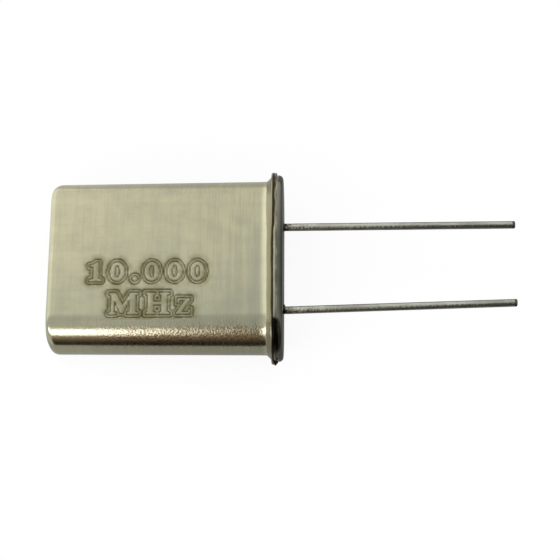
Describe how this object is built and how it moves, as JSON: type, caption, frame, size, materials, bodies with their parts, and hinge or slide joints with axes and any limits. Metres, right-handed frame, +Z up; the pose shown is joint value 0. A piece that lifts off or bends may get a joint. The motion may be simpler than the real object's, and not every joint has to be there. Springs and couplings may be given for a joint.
{
  "type": "crystal resonator",
  "caption": "Quartz crystal resonator in a welded obround metal can, with a flanged base and parallel wire leads, lying on its broad side.",
  "frame": {"origin": "on the floor, under the middle of the part's length, as it lies on its broad side", "axes": "+X along the leads towards their tips, +Y across the can's width towards the rear lead, +Z up"},
  "size_m": [0.0264, 0.0112, 0.0047],
  "materials": {
    "can_nickel": "satin warm nickel, faint lines across the can",
    "base_nickel": "satin grey nickel",
    "lead_tin": "hot-tinned wire, lengthwise mottling",
    "seal_glass": "dark sealing glass",
    "clip_nickel": "rolled nickel strip",
    "quartz": "lapped quartz, slightly frosted",
    "silver_film": "evaporated silver film",
    "silver_cement": "grey silver-filled cement"
  },
  "bodies": {
    "root": {"can": "can_nickel", "base": "base_nickel", "lead_front": "lead_tin", "lead_rear": "lead_tin", "glass_bead_front": "seal_glass", "glass_bead_rear": "seal_glass", "clip_front": "clip_nickel", "clip_rear": "clip_nickel", "quartz_blank": "quartz", "electrode_upper": "silver_film", "electrode_lower": "silver_film", "cement_front": "silver_cement", "cement_rear": "silver_cement"}
  },
  "joints": []
}
